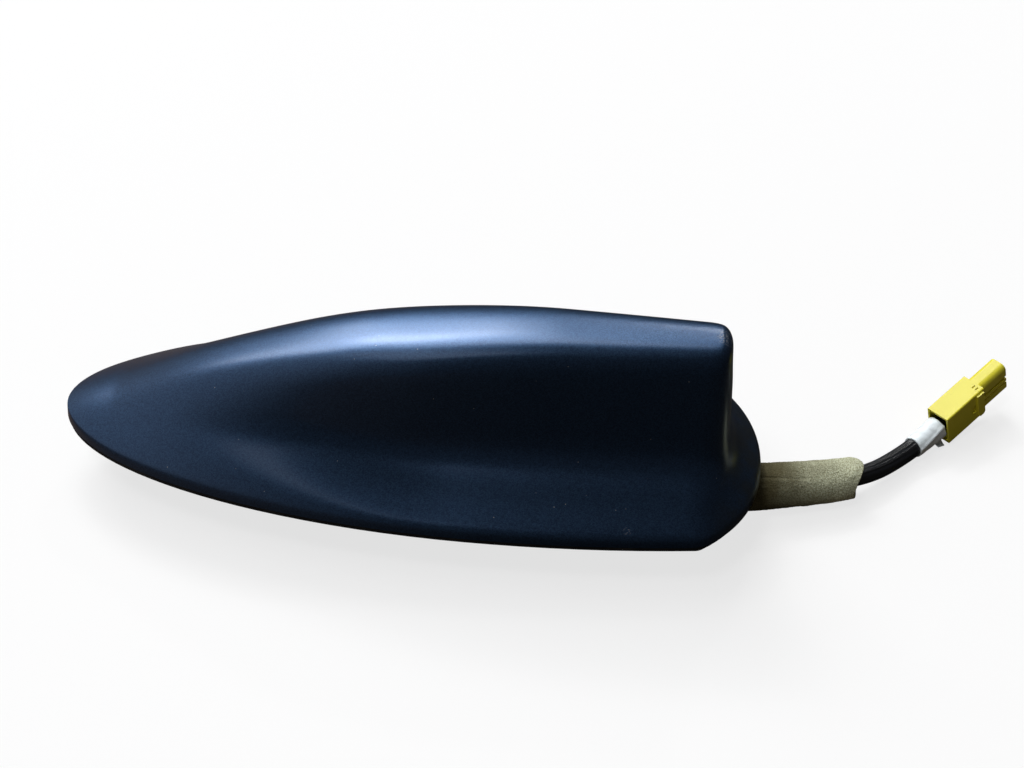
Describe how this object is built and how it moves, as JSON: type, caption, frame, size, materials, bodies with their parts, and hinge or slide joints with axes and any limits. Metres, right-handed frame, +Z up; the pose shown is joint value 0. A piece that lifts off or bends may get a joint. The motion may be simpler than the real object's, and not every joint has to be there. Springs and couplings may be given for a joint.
{
  "type": "car antenna",
  "caption": "Fin-shaped roof antenna for a car: hollow painted cover on a cast base with a roof stud, and a short pigtail in a foam sleeve that ends in a plug.",
  "frame": {"origin": "axis of the roof stud where it crosses the roof plane, which is the underside of the base seal", "axes": "+X to the rear of the car, +Y to its right side, +Z up; the nose points to -X"},
  "size_m": [0.2371, 0.0829, 0.0567],
  "materials": {
    "paint": "satin dark blue metallic paint",
    "seal": "matt",
    "casting": "as cast",
    "steel": "zinc plated",
    "tin": "tin plated",
    "board": "green solder mask",
    "patch": "matt",
    "contact": "bright",
    "cable": "semi-gloss",
    "foam": "open-cell foam",
    "tape": "satin",
    "plug": "satin",
    "insulator": "matt"
  },
  "bodies": {
    "root": {"fin_cover": "paint", "base_gasket": "seal", "inner_seal": "seal", "base_plate": "casting", "mounting_stud": "steel", "cover_screws": "steel", "main_board": "board", "board_screws": "steel", "shield_can": "tin", "patch_antenna": "patch", "patch_feed_pin": "contact", "fin_element": "board", "cable_clamp": "tin", "cable_grommet": "seal", "antenna_cable": "cable", "foam_sleeve": "foam", "white_tape": "tape", "connector_housing": "plug", "shield_ferrule": "tin", "contact_insulator": "insulator", "centre_contact": "contact"}
  },
  "joints": []
}
